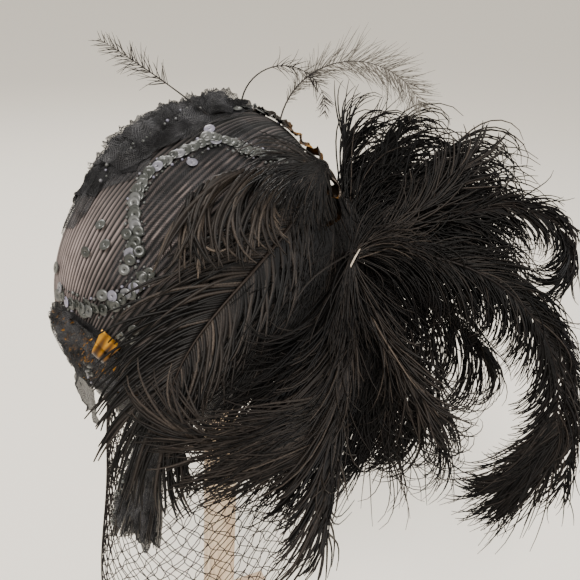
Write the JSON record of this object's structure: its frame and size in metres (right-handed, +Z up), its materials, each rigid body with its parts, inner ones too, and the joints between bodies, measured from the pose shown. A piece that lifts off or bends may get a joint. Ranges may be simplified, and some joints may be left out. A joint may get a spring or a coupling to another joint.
{
  "type": "feather hat on stand",
  "caption": "Ribbed cloth hat with lame band, sequins, a spray of dark plumes and a net veil, held on a plain wooden stand.",
  "frame": {"origin": "middle of the stand's underside", "axes": "+Z up, -X towards the hat's front, -Y the side that carries the plumes"},
  "size_m": [0.3684, 0.3568, 0.6272],
  "materials": {
    "crown_cloth": "pleated sheer cloth with a dull sheen",
    "gold_lame": "crumpled metallic gold cloth",
    "black_tulle": "crumpled fine net",
    "sequins": "flat glossy discs with seed beads",
    "feathers": "matte barbs with a faint sheen",
    "veil_net": "thin knotted thread",
    "pale_wood": "pale limed, matte"
  },
  "bodies": {
    "root": {"band": "gold_lame", "crown": "crown_cloth", "front_panel": "black_tulle", "gold_strip": "gold_lame", "net_scrap": "black_tulle", "plume_arched": "feathers", "plume_crescent": "feathers", "plume_curl": "feathers", "plume_edge": "feathers", "plume_flat": "feathers", "plume_grey": "feathers", "plume_hanging": "feathers", "plume_lock": "feathers", "plume_low_back": "feathers", "plume_low_front": "feathers", "plume_low_mid": "feathers", "plume_side": "feathers", "plume_side_quill": "feathers", "plume_upper_back": "feathers", "plume_upper_front": "feathers", "plume_upper_low": "feathers", "plume_upper_mid": "feathers", "quill_binding": "gold_lame", "ribbon_fold": "gold_lame", "ribbon_knot": "gold_lame", "sequin_vine_front": "sequins", "sequin_vine_top": "sequins", "stand_base": "pale_wood", "stand_pad": "pale_wood", "stand_post": "pale_wood", "tulle_drape": "black_tulle", "tulle_tail": "black_tulle", "veil": "veil_net", "wisp_left": "feathers", "wisp_middle": "feathers", "wisp_right": "feathers"}
  },
  "joints": []
}
